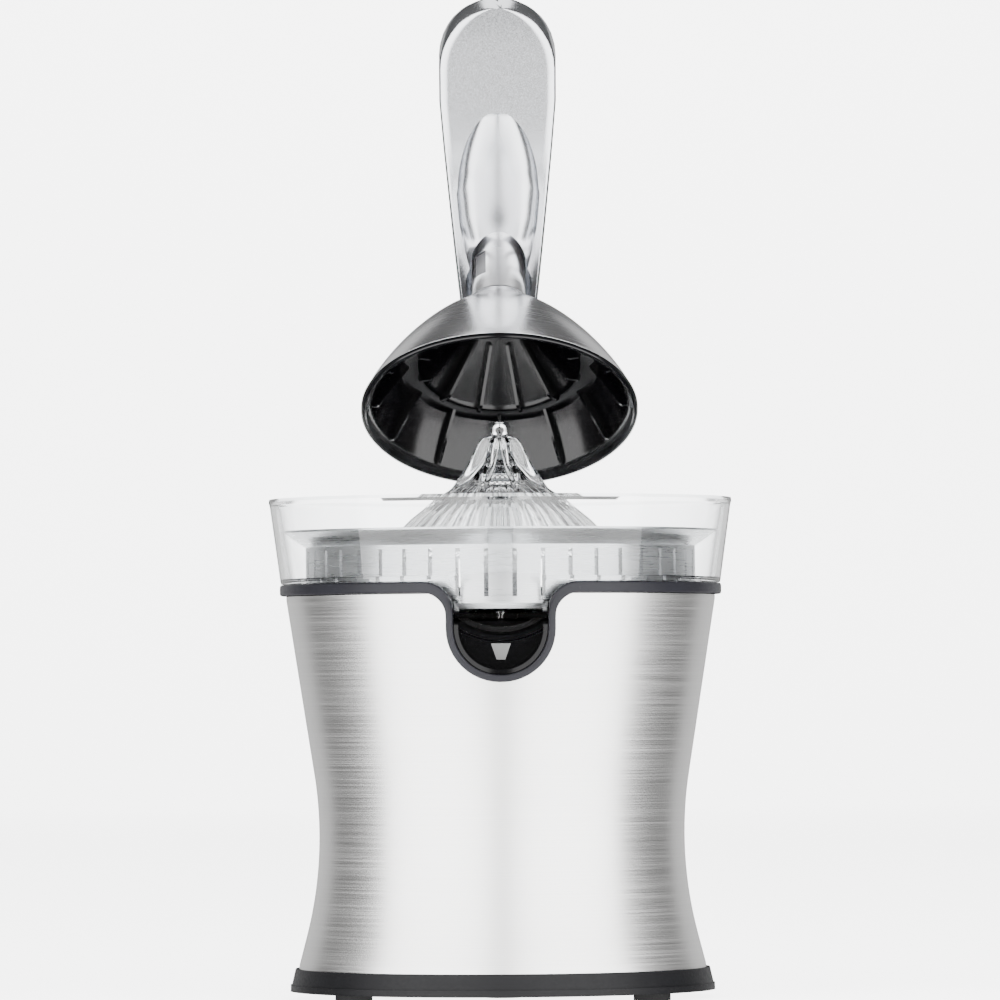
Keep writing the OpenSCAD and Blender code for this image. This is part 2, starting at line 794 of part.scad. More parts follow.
module dome_liner() {
  wall_steps = [2.2, 6, 10, 14, 18, 22];
  color(black) on_rim() {
    difference() {
      rotate_extrude() polygon(concat(
        [[dome_r, 0], [dome_r, 1.9], [dome_out(2.2) - 1.5, 1.9]],
        [for (h = wall_steps) [dome_out(h) - 1.5, h]],
        [[33.2, 23.2], [14.6, 42.6], [10, 46], [8, 47.6], [0, 47.6], [0, 44.5], [8, 44.5], [13.2, 40.5],
          [31, 22], [31, 21]],
        [for (i = [len(wall_steps) - 1 : -1 : 0]) [dome_out(wall_steps[i]) - 3.6, min(20.6, wall_steps[i])]],
        [[51.4, 0]]
      ));
      translate([0, 0, 40]) cylinder(r = 2.1, h = 20);
      translate([0, 0, 43]) cylinder(r = 3.7, h = 3);
    }
    for (i = [0 : liner_ribs - 1]) rotate(90 + 15 + 360 / liner_ribs * i) {
      rotate([90, 0, 0]) translate([0, 0, -0.65]) linear_extrude(1.3)
        polygon([[32.4, 20.9], [31.6, 22], [13.8, 40.3], [11.6, 38], [26.6, 20.2], [27.6, 19.4], [31.8, 19.4]]);
      rotate(180 / liner_ribs) rotate([90, 0, 0]) translate([0, 0, -0.65]) linear_extrude(1.3)
        polygon([[38.4, 20.8], [44.6, 12.6], [49.6, 2.6], [47, 2.6], [46, 3.4], [40.4, 12], [34.6, 20.8]]);
    }
  }
}

module dome_stud() {
  color(steel) on_rim() difference() {
    union() {
      tube(9, 0, 48, neck_h - 1.3);
      tube(stud_r, 0, 49, 58.4);
      tube(groove_r, 0, 58, 70);
      tube(stud_r, 0, 69, 72);
    }
    cylinder(r = 1.9 + fit, h = 62);
  }
}

module liner_screw() {
  color(steel) on_rim() {
    tube(3.4, 0, 44.6, 45.9);
    tube(1.9, 0, 45, 60);
  }
}

// ---- reamer, bowl and strainer ----
reamer_low_z = 167;

module reamer_profile() {
  polygon([
    [0, reamer_low_z], [43.5, reamer_low_z], [43, 170], [40, 174.5], [33, 182], [26.4, 187.2], [20.8, 191.4],
    [13, 196.4], [8, 202], [4.8, 208], [3.4, 213], [2.6, 216.5], [1.2, reamer_top_z - 0.4], [0, reamer_top_z]
  ]);
}

module reamer_fin() {
  rotate([90, 0, 0]) translate([0, 0, -1.2]) linear_extrude(2.4)
    polygon([[2.2, 196.3], [19.2, 190.3], [14.9, 200.4], [12.8, 203.3], [8.8, 210.5], [7, 212.4], [5.2, 212.4],
      [2.2, 210.2]]);
}

module reamer_cone() {
  color(clear) difference() {
    union() {
      rotate_extrude() reamer_profile();
      for (i = [0 : reamer_fins - 1]) rotate(360 / reamer_fins * (i + 0.5)) reamer_fin();
    }
    rotate_extrude() polygon([
      [8.5, reamer_low_z - 1], [41.4, reamer_low_z - 1], [40.6, 170], [37.6, 174], [30.8, 181], [24.2, 186],
      [18.4, 190], [13, 193], [8.5, 194]
    ]);
    translate([0, 0, reamer_low_z - 1]) cylinder(r = 8.6, h = 5);
    translate([0, 0, reamer_low_z]) cylinder(r = hex_r + 0.15, h = 20, $fn = 6);
  }
}

well_low_z = 143.4;
step_z = 157.3;

module juice_bowl() {
  color(clear) difference() {
    union() {
      rotate_extrude() polygon([
        [10, well_low_z], [76.6, well_low_z], [78.4, step_z], [83.4, step_z], [83.7, step_z + 1],
        [bowl_r - 0.4, bowl_top_z - 2.4], [bowl_r, bowl_top_z - 1.2], [bowl_r - 0.2, bowl_top_z],
        [bowl_r - 2.4, bowl_top_z], [bowl_r - 0.4 - bowl_t, bowl_top_z - 2.4], [83.7 - bowl_t, step_z + bowl_t],
        [78.4 - bowl_t, step_z + bowl_t], [76.6 - bowl_t, well_low_z + bowl_t], [12, well_low_z + bowl_t],
        [12, 166.5], [10, 166.5]
      ]);
      intersection() {
        spout_space(spout_arc_r, spout_front_y, spout_rear_y);
        union() {
          translate([-spout_half_w, -100, 130]) cube([2 * spout_half_w, 60, 16]);
          translate([-spout_half_w, -100, 130]) cube([2 * spout_half_w, 24.5, 20]);
        }
      }
    }
    intersection() {
      spout_space(spout_arc_r - bowl_t, spout_front_y - 1, spout_rear_y + bowl_t);
      translate([-spout_half_w + bowl_t, -100, 130]) cube([2 * (spout_half_w - bowl_t), 60, 30]);
    }
  }
}

strainer_floor_z = 147;
strainer_wall_r = 74;
slot_low_z = 151.5;
slot_high_z = 169.5;

module strainer() {
  color(steel) difference() {
    rotate_extrude() polygon([
      [13, strainer_floor_z], [strainer_wall_r - 1.6, strainer_floor_z], [strainer_wall_r, 149], [strainer_wall_r, 171],
      [79.5, 174.6], [strainer_r, 176.6], [strainer_r, 177.4], [79, 175.6], [strainer_wall_r - 0.8, 171.8],
      [strainer_wall_r - 0.8, 149.4], [strainer_wall_r - 2, strainer_floor_z + 0.8], [13.8, strainer_floor_z + 0.8],
      [13.8, 168], [13, 168]
    ]);
    for (i = [0 : strainer_slots - 1]) rotate(360 / strainer_slots * (i + 0.5)) {
      translate([strainer_wall_r - 3, -slot_w / 2, slot_low_z]) cube([6, slot_w, slot_high_z - slot_low_z]);
      translate([66, 0, strainer_floor_z - 1]) cylinder(r = 1.2, h = 3);
    }
    for (ring = [26, 36, 46, 56], i = [0 : ring / 2 - 1]) rotate(720 / ring * i)
      translate([ring, 0, strainer_floor_z - 1]) cylinder(r = 1.4, h = 3);
  }
}

housing_shell();
base_tray();
rubber_feet();
base_screws();
trim_ring();
top_deck();
spout_pocket();
outlet_marker();
shaft_seal();
upper_bush();
lower_bush();
gearbox_case();
gearbox_cover();
gearbox_screws();
idler_pin();
motor_stator();
motor_windings();
motor_upper_bracket();
motor_lower_bracket();
motor_bushes();
motor_bolts();
motor_brushes();
switch_bracket();
microswitch_body();
cord_gland();
terminal_block();
suppression_capacitor();
hinge_bracket();
hinge_backplate();
hinge_pin();
hinge_screws();
lever_arm();
hinge_bushes();
lever_spring();
coupler_sleeve();
latch_button();
dome_shell();
dome_liner();
dome_stud();
liner_screw();
press_plunger();
press_spring();
switch_button();
drive_shaft();
output_gear();
idler_gear();
motor_shaft();
rotor_core();
commutator();
cooling_fan();
motor_pinion();
reamer_cone();
juice_bowl();
strainer();
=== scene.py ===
"""Looks of the lever citrus press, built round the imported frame. All lengths are metres."""

import json
import math

import bmesh
import bpy
from mathutils import Matrix, Vector


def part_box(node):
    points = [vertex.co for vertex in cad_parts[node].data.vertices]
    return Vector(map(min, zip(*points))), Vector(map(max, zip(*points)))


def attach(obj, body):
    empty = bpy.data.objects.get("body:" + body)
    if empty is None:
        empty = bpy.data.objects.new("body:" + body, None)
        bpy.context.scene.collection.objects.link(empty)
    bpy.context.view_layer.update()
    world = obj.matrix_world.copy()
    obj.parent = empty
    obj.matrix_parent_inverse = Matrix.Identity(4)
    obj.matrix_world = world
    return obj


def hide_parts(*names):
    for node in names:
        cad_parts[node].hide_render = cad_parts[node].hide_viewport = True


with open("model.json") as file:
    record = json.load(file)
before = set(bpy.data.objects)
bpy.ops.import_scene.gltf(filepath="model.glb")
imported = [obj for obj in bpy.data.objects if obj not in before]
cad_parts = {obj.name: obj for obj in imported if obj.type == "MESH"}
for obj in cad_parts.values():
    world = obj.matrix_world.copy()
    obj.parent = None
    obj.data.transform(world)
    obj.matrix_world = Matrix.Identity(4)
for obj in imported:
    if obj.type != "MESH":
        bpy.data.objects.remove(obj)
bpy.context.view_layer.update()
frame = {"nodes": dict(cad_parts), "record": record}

MM = 0.001

# ---------------------------------------------------------------- places taken from the frame
joints = {j["name"]: j for j in frame["record"]["behaviour"]["joints"]}
hinge = Vector(joints["lever_hinge"]["pos_m"])
lift_angle = math.radians(-joints["lever_hinge"]["range_deg"][0])
RAISED = Matrix.Translation(hinge) @ Matrix.Rotation(-lift_angle, 4, "X") @ Matrix.Translation(-hinge)
housing_low, housing_high = (v[2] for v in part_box("housing_shell"))


# ---------------------------------------------------------------- mesh helpers
def finish_mesh(name, bm, material, body, replaces=(), sharp=35):
    """Turns a bmesh into a piece that rides on a body, smooth except at sharp edges."""
    bmesh.ops.remove_doubles(bm, verts=bm.verts, dist=1e-6)
    bmesh.ops.recalc_face_normals(bm, faces=bm.faces)
    mesh = bpy.data.meshes.new(name)
    bm.to_mesh(mesh)
    bm.free()
    piece = bpy.data.objects.new(name, mesh)
    bpy.context.scene.collection.objects.link(piece)
    smooth(piece, sharp)
    mesh.materials.append(material)
    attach(piece, body)
    if replaces:
        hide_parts(*replaces)
    return piece


def smooth(piece, sharp=35):
    """Shades a piece smooth, with its sharp edges marked."""
    mesh = piece.data
    mesh.polygons.foreach_set("use_smooth", [True] * len(mesh.polygons))
    mesh.set_sharp_from_angle(angle=math.radians(sharp))
    mesh.update()


def revolve(bm, outline, segments=192, matrix=None):
    """Adds a closed outline of (radius, height) turned round the Z axis."""
    rings = []
    for r, z in outline:
        if r < 1e-7:
            rings.append([bm.verts.new((0, 0, z))])
        else:
            rings.append([
                bm.verts.new((r * math.cos(a), r * math.sin(a), z))
                for a in (2 * math.pi * i / segments for i in range(segments))
            ])
    made = [v for ring in rings for v in ring]
    for n, ring in enumerate(rings):
        after = rings[(n + 1) % len(rings)]
        for i in range(segments):
            j = (i + 1) % segments
            corners = (ring[i % len(ring)], ring[j % len(ring)], after[j % len(after)], after[i % len(after)])
            face = list(dict.fromkeys(corners))
            if len(face) > 2:
                bm.faces.new(face)
    if matrix:
        bmesh.ops.transform(bm, matrix=matrix, verts=made)


def loft(bm, loops, closed_ends=True, closed_path=False, matrix=None):
    """Joins loops with the same number of points into a skin."""
    rings = [[bm.verts.new(p) for p in loop] for loop in loops]
    count = len(rings[0])
    for n in range(len(rings) - (0 if closed_path else 1)):
        a, b = rings[n], rings[(n + 1) % len(rings)]
        for i in range(count):
            j = (i + 1) % count
            bm.faces.new((a[i], a[j], b[j], b[i]))
    if closed_ends and not closed_path:
        bm.faces.new(rings[0])
        bm.faces.new(list(reversed(rings[-1])))
    if matrix:
        bmesh.ops.transform(bm, matrix=matrix, verts=[v for ring in rings for v in ring])


def cut(piece, bm):
    """Takes the solid in bm away from a piece."""
    bmesh.ops.recalc_face_normals(bm, faces=bm.faces)
    mesh = bpy.data.meshes.new("cutter")
    bm.to_mesh(mesh)
    bm.free()
    cutter = bpy.data.objects.new("cutter", mesh)
    bpy.context.scene.collection.objects.link(cutter)
    modifier = piece.modifiers.new("cut", "BOOLEAN")
    modifier.operation = "DIFFERENCE"
    modifier.solver = "EXACT"
    modifier.object = cutter
    bpy.context.view_layer.update()
    result = bpy.data.meshes.new_from_object(piece.evaluated_get(bpy.context.evaluated_depsgraph_get()))
    piece.modifiers.clear()
    piece.data = result
    bpy.data.objects.remove(cutter)


def arc(centre, radius, start, end, steps):
    """Points on an arc in a plane, angles in degrees."""
    return [
        (centre[0] + radius * math.cos(math.radians(start + (end - start) * i / steps)),
         centre[1] + radius * math.sin(math.radians(start + (end - start) * i / steps)))
        for i in range(steps + 1)
    ]


def circle(radius, count):
    """Points round a circle about the origin."""
    return [(radius * math.cos(a), radius * math.sin(a)) for a in (2 * math.pi * i / count for i in range(count))]


def blend(a, b, t):
    """Goes from a to b as t goes from 0 to 1."""
    return a + (b - a) * t


def ease(t):
    """A smooth step from 0 to 1."""
    t = max(0.0, min(1.0, t))
    return t * t * (3 - 2 * t)


# ---------------------------------------------------------------- materials
NOISE_SPAN = (0.3, 0.7)  # where nearly all of a noise's values lie
GRAIN, CLOUDS, SMEARS = 900, 60, 40  # noise steps to a metre: moulded grain, colour, gloss of clear plastic


def material(name, color, metallic=0.0, roughness=0.4, **sockets):
    """A Principled material with its uniform values set on its own sockets."""
    mat = bpy.data.materials.new(name)
    mat.use_nodes = True
    shader = mat.node_tree.nodes["Principled BSDF"]
    shader.inputs["Base Color"].default_value = (*color, 1)
    shader.inputs["Metallic"].default_value = metallic
    shader.inputs["Roughness"].default_value = roughness
    for socket, value in sockets.items():
        shader.inputs[socket.replace("_", " ")].default_value = value
    return mat


def texture(mat, scale, turn=0.0):
    """A noise in object space, stretched by scale, after a turn about X."""
    nodes, links = mat.node_tree.nodes, mat.node_tree.links
    coords = nodes.new("ShaderNodeTexCoord")
    turned = nodes.new("ShaderNodeMapping")
    turned.inputs["Rotation"].default_value = (turn, 0, 0)
    stretched = nodes.new("ShaderNodeMapping")
    stretched.inputs["Scale"].default_value = scale
    noise = nodes.new("ShaderNodeTexNoise")
    noise.inputs["Scale"].default_value = 1.0
    noise.inputs["Detail"].default_value = 4.0
    links.new(coords.outputs["Object"], turned.inputs["Vector"])
    links.new(turned.outputs["Vector"], stretched.inputs["Vector"])
    links.new(stretched.outputs["Vector"], noise.inputs["Vector"])
    return noise.outputs["Fac"]


def spread(mat, fac, socket, low, high):
    """Feeds a noise into a shader's number, between two values."""
    nodes, links = mat.node_tree.nodes, mat.node_tree.links
    ramp = nodes.new("ShaderNodeMapRange")
    ramp.inputs["From Min"].default_value, ramp.inputs["From Max"].default_value = NOISE_SPAN
    ramp.inputs["To Min"].default_value = low
    ramp.inputs["To Max"].default_value = high
    links.new(fac, ramp.inputs["Value"])
    links.new(ramp.outputs["Result"], nodes["Principled BSDF"].inputs[socket])


def tint(mat, fac, dark, light):
    """Feeds a noise into a shader's colour, between two colours."""
    nodes, links = mat.node_tree.nodes, mat.node_tree.links
    ramp = nodes.new("ShaderNodeValToRGB")
    for element, position, color in zip(ramp.color_ramp.elements, NOISE_SPAN, (dark, light)):
        element.position = position
        element.color = (*color, 1)
    links.new(fac, ramp.inputs["Fac"])
    links.new(ramp.outputs["Color"], nodes["Principled BSDF"].inputs["Base Color"])


def bump(mat, fac, distance, strength):
    """Feeds a noise into a shader's normal."""
    nodes, links = mat.node_tree.nodes, mat.node_tree.links
    node = nodes.new("ShaderNodeBump")
    node.inputs["Distance"].default_value = distance
    node.inputs["Strength"].default_value = strength
    links.new(fac, node.inputs["Height"])
    links.new(node.outputs["Normal"], nodes["Principled BSDF"].inputs["Normal"])


def shade(color, factor):
    """A colour made darker or lighter."""
    return tuple(c * factor for c in color)


def brushed(name, color, roughness, lines, turn=0.0, depth=2e-6, wear=1.0):
    """Brushed metal: fine parallel lines in colour, roughness and height, their strength set by wear."""
    mat = material(name, color, 1.0, roughness)
    fac = texture(mat, lines, turn)
    spread(mat, fac, "Roughness", roughness - 0.05 * wear, roughness + 0.07 * wear)
    tint(mat, fac, shade(color, 1 - 0.07 * wear), shade(color, 1 + 0.04 * wear))
    bump(mat, fac, depth, 0.6 * wear)
    return mat


def moulded(name, color, roughness, **sockets):
    """Moulded plastic or rubber: a faint grain, and slight unevenness of gloss."""
    mat = material(name, color, 0.0, roughness, **sockets)
    fac = texture(mat, (GRAIN, GRAIN, GRAIN))
    spread(mat, fac, "Roughness", roughness * 0.85, roughness * 1.15)
    tint(mat, texture(mat, (CLOUDS, CLOUDS, CLOUDS)), shade(color, 0.9), shade(color, 1.1))
    bump(mat, fac, 8e-6, 0.3)
    return mat


def clear_plastic(name, color, roughness=0.02):
    """Clear plastic, slightly smeared."""
    mat = material(name, color, 0.0, roughness, IOR=1.45, Transmission_Weight=1.0)
    spread(mat, texture(mat, (SMEARS, SMEARS, SMEARS)), "Roughness", roughness, roughness * 2.5)
    return mat


STEEL_LINES = (14, 14, 2600)
steel_housing = brushed("brushed_steel_housing", (0.74, 0.735, 0.725), 0.34, STEEL_LINES)
steel_dome = brushed("brushed_steel_dome", (0.62, 0.62, 0.63), 0.25, (12, 12, 3000), lift_angle, wear=0.4)
steel_strainer = brushed("strainer_steel", (0.46, 0.47, 0.48), 0.28, (60, 60, 1800), wear=0.5)
satin_arm = brushed("satin_aluminium", (0.56, 0.57, 0.59), 0.2, (1500, 1500, 1500), depth=1e-6, wear=0.35)
chrome = brushed("polished_steel", (0.80, 0.80, 0.81), 0.3, (60, 60, 1500), lift_angle, wear=0.6)
zinc = brushed("zinc_plated_steel", (0.60, 0.60, 0.60), 0.35, (300, 300, 300))
gloss_black = moulded("gloss_black", (0.001, 0.001, 0.0012), 0.14, Specular_IOR_Level=0.15)
liner_black = moulded("liner_black", (0.0012, 0.0012, 0.0015), 0.16, Specular_IOR_Level=0.3)
base_black = moulded("base_black", (0.0035, 0.0035, 0.004), 0.45, Specular_IOR_Level=0.12)
trim_grey = moulded("trim_grey", (0.007, 0.007, 0.009), 0.4, Specular_IOR_Level=0.15)
rubber = moulded("foot_rubber", (0.008, 0.008, 0.008), 0.75, Specular_IOR_Level=0.1)
marker_grey = moulded("marker_grey", (0.10, 0.10, 0.10), 0.45, Specular_IOR_Level=0.2)
latch_grey = moulded("latch_grey", (0.10, 0.10, 0.105), 0.35)
nylon = moulded("nylon", (0.75, 0.73, 0.68), 0.45)
gearbox_grey = moulded("gearbox_grey", (0.05, 0.05, 0.055), 0.5)
carbon = moulded("carbon", (0.02, 0.02, 0.02), 0.6)
capacitor_film = moulded("capacitor_film", (0.55, 0.40, 0.06), 0.3)
switch_red = moulded("switch_red", (0.4, 0.03, 0.02), 0.35)
brass = brushed("sintered_brass", (0.62, 0.45, 0.20), 0.4, (700, 700, 700))
copper = brushed("enamelled_copper", (0.55, 0.23, 0.09), 0.3, (200, 200, 3000))
clear = clear_plastic("clear_plastic", (0.97, 0.98, 0.985))

SLOT_MATERIALS = {
    "brushed_housing": steel_housing, "satin_arm": satin_arm, "satin_dome": steel_dome,
    "strainer_steel": steel_strainer, "polished_steel": chrome, "steel_part": zinc,
    "base_black": base_black, "foot_rubber": rubber, "trim_grey": trim_grey, "deck_black": gloss_black,
    "marker_grey": marker_grey, "bush_brass": brass, "gearbox_plastic": gearbox_grey,
    "winding_copper": copper, "brush_carbon": carbon, "nylon_white": nylon,
    "capacitor_yellow": capacitor_film, "latch_dark": latch_grey, "liner_black": liner_black,
    "switch_red": switch_red, "clear_plastic": clear,
}
slot_of = {s["node"]: s["material_slot"] for s in frame["record"]["subparts"]}
for node, piece in frame["nodes"].items():
    for n in range(len(piece.material_slots)):
        piece.material_slots[n].material = SLOT_MATERIALS[slot_of[node]]


# ---------------------------------------------------------------- housing outline, as in the CAD
WAIST_R, WAIST_Z, WAIST_CURVE = 69.4 * MM, 62 * MM, 150 * MM
FLARE_Z, FOOT_Z = 85 * MM, 24 * MM
TOP_SLOPE, FOOT_SLOPE = 0.1556, 0.26
SHEET, HEM = 1 * MM, 0.2 * MM
GLAND_HOLE_R = 8.2 * MM


def waist(z):
    """Radius of the housing's hollow curve."""
    return WAIST_R + WAIST_CURVE - math.sqrt(WAIST_CURVE ** 2 - (z - WAIST_Z) ** 2)


def shell_r(z):
    """Radius of the housing at a height."""
    if z > FLARE_Z:
        return waist(FLARE_Z) + (z - FLARE_Z) * TOP_SLOPE
    if z < FOOT_Z:
        return waist(FOOT_Z) + (FOOT_Z - z) * FOOT_SLOPE
    return waist(z)


# The trim's U, along the middle of its band, as (x, z) from its left end down and round to its right end
U_HALF_W, U_BOTTOM, U_CORNER, U_FLARE, BAND_W = 20.4 * MM, 119.6 * MM, 20 * MM, 8.5 * MM, 2.7 * MM
RING_R, RING_Z, RING_H = 82.45 * MM, 154.9 * MM, 4.2 * MM


def u_path(inset, top):
    """The U's outline moved in by an inset, with its upper corners flared out to a level."""
    w, r, low = U_HALF_W - inset, U_CORNER - inset, U_BOTTOM + inset
    flare = U_FLARE + inset
    left = arc((-w - flare, top - flare), flare, 90, 0, 10) + arc((r - w, low + r), r, 180, 270, 12)
    return left + [(-x, z) for x, z in reversed(left)]


def build_housing():
    """The steel skin, open at the front for the spout and at the back for the cord's gland."""
    zs = [housing_low + (housing_high - housing_low) * i / 90 for i in range(91)]
    outline = [(shell_r(z) - (HEM if n in (0, 90) else 0), z) for n, z in enumerate(zs)]
    outline += [(shell_r(z) - SHEET, z) for z in reversed(zs)]
    bm = bmesh.new()
    revolve(bm, outline, 256)
    piece = finish_mesh("housing_skin", bm, steel_housing, "base", ("housing_shell",))
    opening = bmesh.new()
    path, above = u_path(1 * MM, RING_Z), 170 * MM
    path = [(path[0][0], above)] + path + [(path[-1][0], above)]
    loft(opening, [[(x, y, z) for x, z in path] for y in (-100 * MM, -50 * MM)])
    cut(piece, opening)
    hole = bmesh.new()
    gland_z = sum(v[2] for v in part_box("cord_gland")) / 2
    loft(hole, [[(x, y, gland_z + z) for x, z in circle(GLAND_HOLE_R, 48)] for y in (50 * MM, 90 * MM)])
    cut(piece, hole)
    smooth(piece, 30)


def build_trim():
    """One closed band: round the top of the housing, and down round the spout's opening."""
    u = u_path(BAND_W / 2, RING_Z)
    points = []
    start_angle = math.asin(-u[0][0] / RING_R)
    steps = 150
    for i in range(steps):
        a = start_angle + (2 * math.pi - 2 * start_angle) * i / steps
        points.append((RING_R * math.sin(a), -RING_R * math.cos(a), RING_Z, RING_H, 1.0))
    dense = []
    for (x0, z0), (x1, z1) in zip(u[:-1], u[1:]):
        count = max(1, int(math.hypot(x1 - x0, z1 - z0) / (1.2 * MM)))
        dense += [(blend(x0, x1, k / count), blend(z0, z1, k / count)) for k in range(count)]
    dense.append(u[-1])
    for x, z in dense:
        top = ease((z - 143 * MM) / (12 * MM))
        r = blend(shell_r(z) + 0.3 * MM, RING_R, top)
        y = -math.sqrt(r * r - x * x)
        points.append((x, y, z, blend(BAND_W, RING_H, top), top))
    loops = []
    ring_depth, band_depth = 1.5 * MM, 0.9 * MM
    for n, (x, y, z, width, top) in enumerate(points):
        ahead, behind = points[(n + 1) % len(points)], points[n - 1]
        along = (Vector(ahead[:3]) - Vector(behind[:3])).normalized()
        out = Vector((x, y, 0)).normalized()
        across = along.cross(out).normalized()
        out = across.cross(along).normalized()
        if out.dot(Vector((x, y, 0))) < 0:
            out.negate()
        depth = ring_depth if top > 0.98 else blend(band_depth, ring_depth, top)
        loop = []
        for k in range(20):
            a = 2 * math.pi * k / 20
            c, s = math.cos(a), math.sin(a)
            c = math.copysign(abs(c) ** 0.45, c)
            s = math.copysign(abs(s) ** 0.45, s)
            loop.append(Vector((x, y, z)) + out * depth * c + across * width / 2 * s)
        loops.append(loop)
    bm = bmesh.new()
    loft(bm, loops, closed_path=True)
    finish_mesh("trim_band", bm, trim_grey, "base", ("trim_ring",), 60)


# ---------------------------------------------------------------- lever arm, in mm, drawn pressed and then raised
TIP_Y, BEND_Y, STEM_Y, BACK_Y = -96.6, 68.0, 91.5, 111.0
TIP_W, STEM_W, TIP_LENGTH = 22.4, 7.0, 18.5
CHANNEL_FRONT, CHANNEL_FULL, CHANNEL_REAR, CHANNEL_W, CHANNEL_DEPTH = -64.0, -36.0, 6.0, 15.6, 9.6
RECESS_R, RECESS_TOP = 12.9, 252.0
SLOT_W = 3.6
KNUCKLE_R, PIN_HOLE_R, KNUCKLE_EDGE = 9.0, 4.5, 0.5


def underside_z(y):
    """Height of the arm's underside."""
    return 236 - 0.475 * y + 0.00156 * y * y


def top_side_z(y):
    """Height of the arm's top."""
    return 262 - 0.41 * y + 0.0006 * y * y


def arm_half_w(y):
    """Half the arm's width."""
    if y < TIP_Y + TIP_LENGTH:
        return TIP_W * math.sqrt(max(0.0, 1 - ((TIP_Y + TIP_LENGTH - y) / TIP_LENGTH) ** 2))
    return max(STEM_W, min(TIP_W, 15.85 - 0.1 * y))


def channel_w(y):
    """Half the channel's width."""
    if y <= CHANNEL_FRONT or y >= CHANNEL_REAR:
        return 0.4
    if y < CHANNEL_FULL:
        return max(0.4, CHANNEL_W * math.sqrt(1 - ((CHANNEL_FULL - y) / (CHANNEL_FULL - CHANNEL_FRONT)) ** 2))
    taper = ((CHANNEL_REAR - y) / (CHANNEL_REAR + 30)) ** 0.2
    return max(0.4, min(CHANNEL_W, arm_half_w(y) - 2.6) * taper)


def bezier(a, b, c, t):
    """A point on a curve from a to c that bends towards b."""
    return tuple((1 - t) ** 2 * p + 2 * t * (1 - t) * q + t * t * r for p, q, r in zip(a, b, c))


def arm_section(low, high, w):
    """A closed loop round the arm: from the middle of the underside out, over the top and back."""
    height = math.hypot(high[0] - low[0], high[1] - low[1])
    up = ((high[0] - low[0]) / height, (high[1] - low[1]) / height)
    edge = min(1.6, w * 0.3)
    side = [(x * (w - edge), 0) for x in (0, 0.25, 0.5, 0.75, 0.9, 1.0)]
    side += [(w - edge + edge * math.sin(a), edge - edge * math.cos(a)) for a in (math.pi / 6, math.pi / 3)]
    side += [(w, min(edge, height / 3))]
    crown = [(1.0, 0.5), (0.985, 0.62), (0.95, 0.73), (0.88, 0.83), (0.76, 0.91), (0.6, 0.96), (0.4, 0.99),
             (0.2, 1.0)]
    side += [(w * x, height * v) for x, v in crown]
    half = side + [(0, height)]
    loop = half + [(-x, v) for x, v in reversed(half[1:-1])]
    return [(x * MM, (low[0] + up[0] * v) * MM, (low[1] + up[1] * v) * MM) for x, v in loop]


def channel_tool():
    """The hollow under the arm: a round-topped trough that starts in a blunt arch near the tip."""
    bm = bmesh.new()
    ys = [CHANNEL_FRONT + 12 * (i / 20) ** 2 for i in range(1, 21)]
    ys += [ys[-1] + (CHANNEL_REAR - 0.3 - ys[-1]) * i / 24 for i in range(1, 25)]
    loops = []
    for y in ys:
        w, low = channel_w(y), underside_z(y)
        depth = CHANNEL_DEPTH * math.sqrt(1 - (1 - min(1.0, (y - CHANNEL_FRONT) / 8)) ** 2)
        loop = [(w * math.cos(math.radians(a)), low + depth * math.sin(math.radians(a)) ** 0.9)
                for a in range(0, 181, 9)]
        loop += [(-w, low - 4), (w, low - 4)]
        loops.append([(x * MM, y * MM, z * MM) for x, z in loop])
    loft(bm, loops)
    return bm


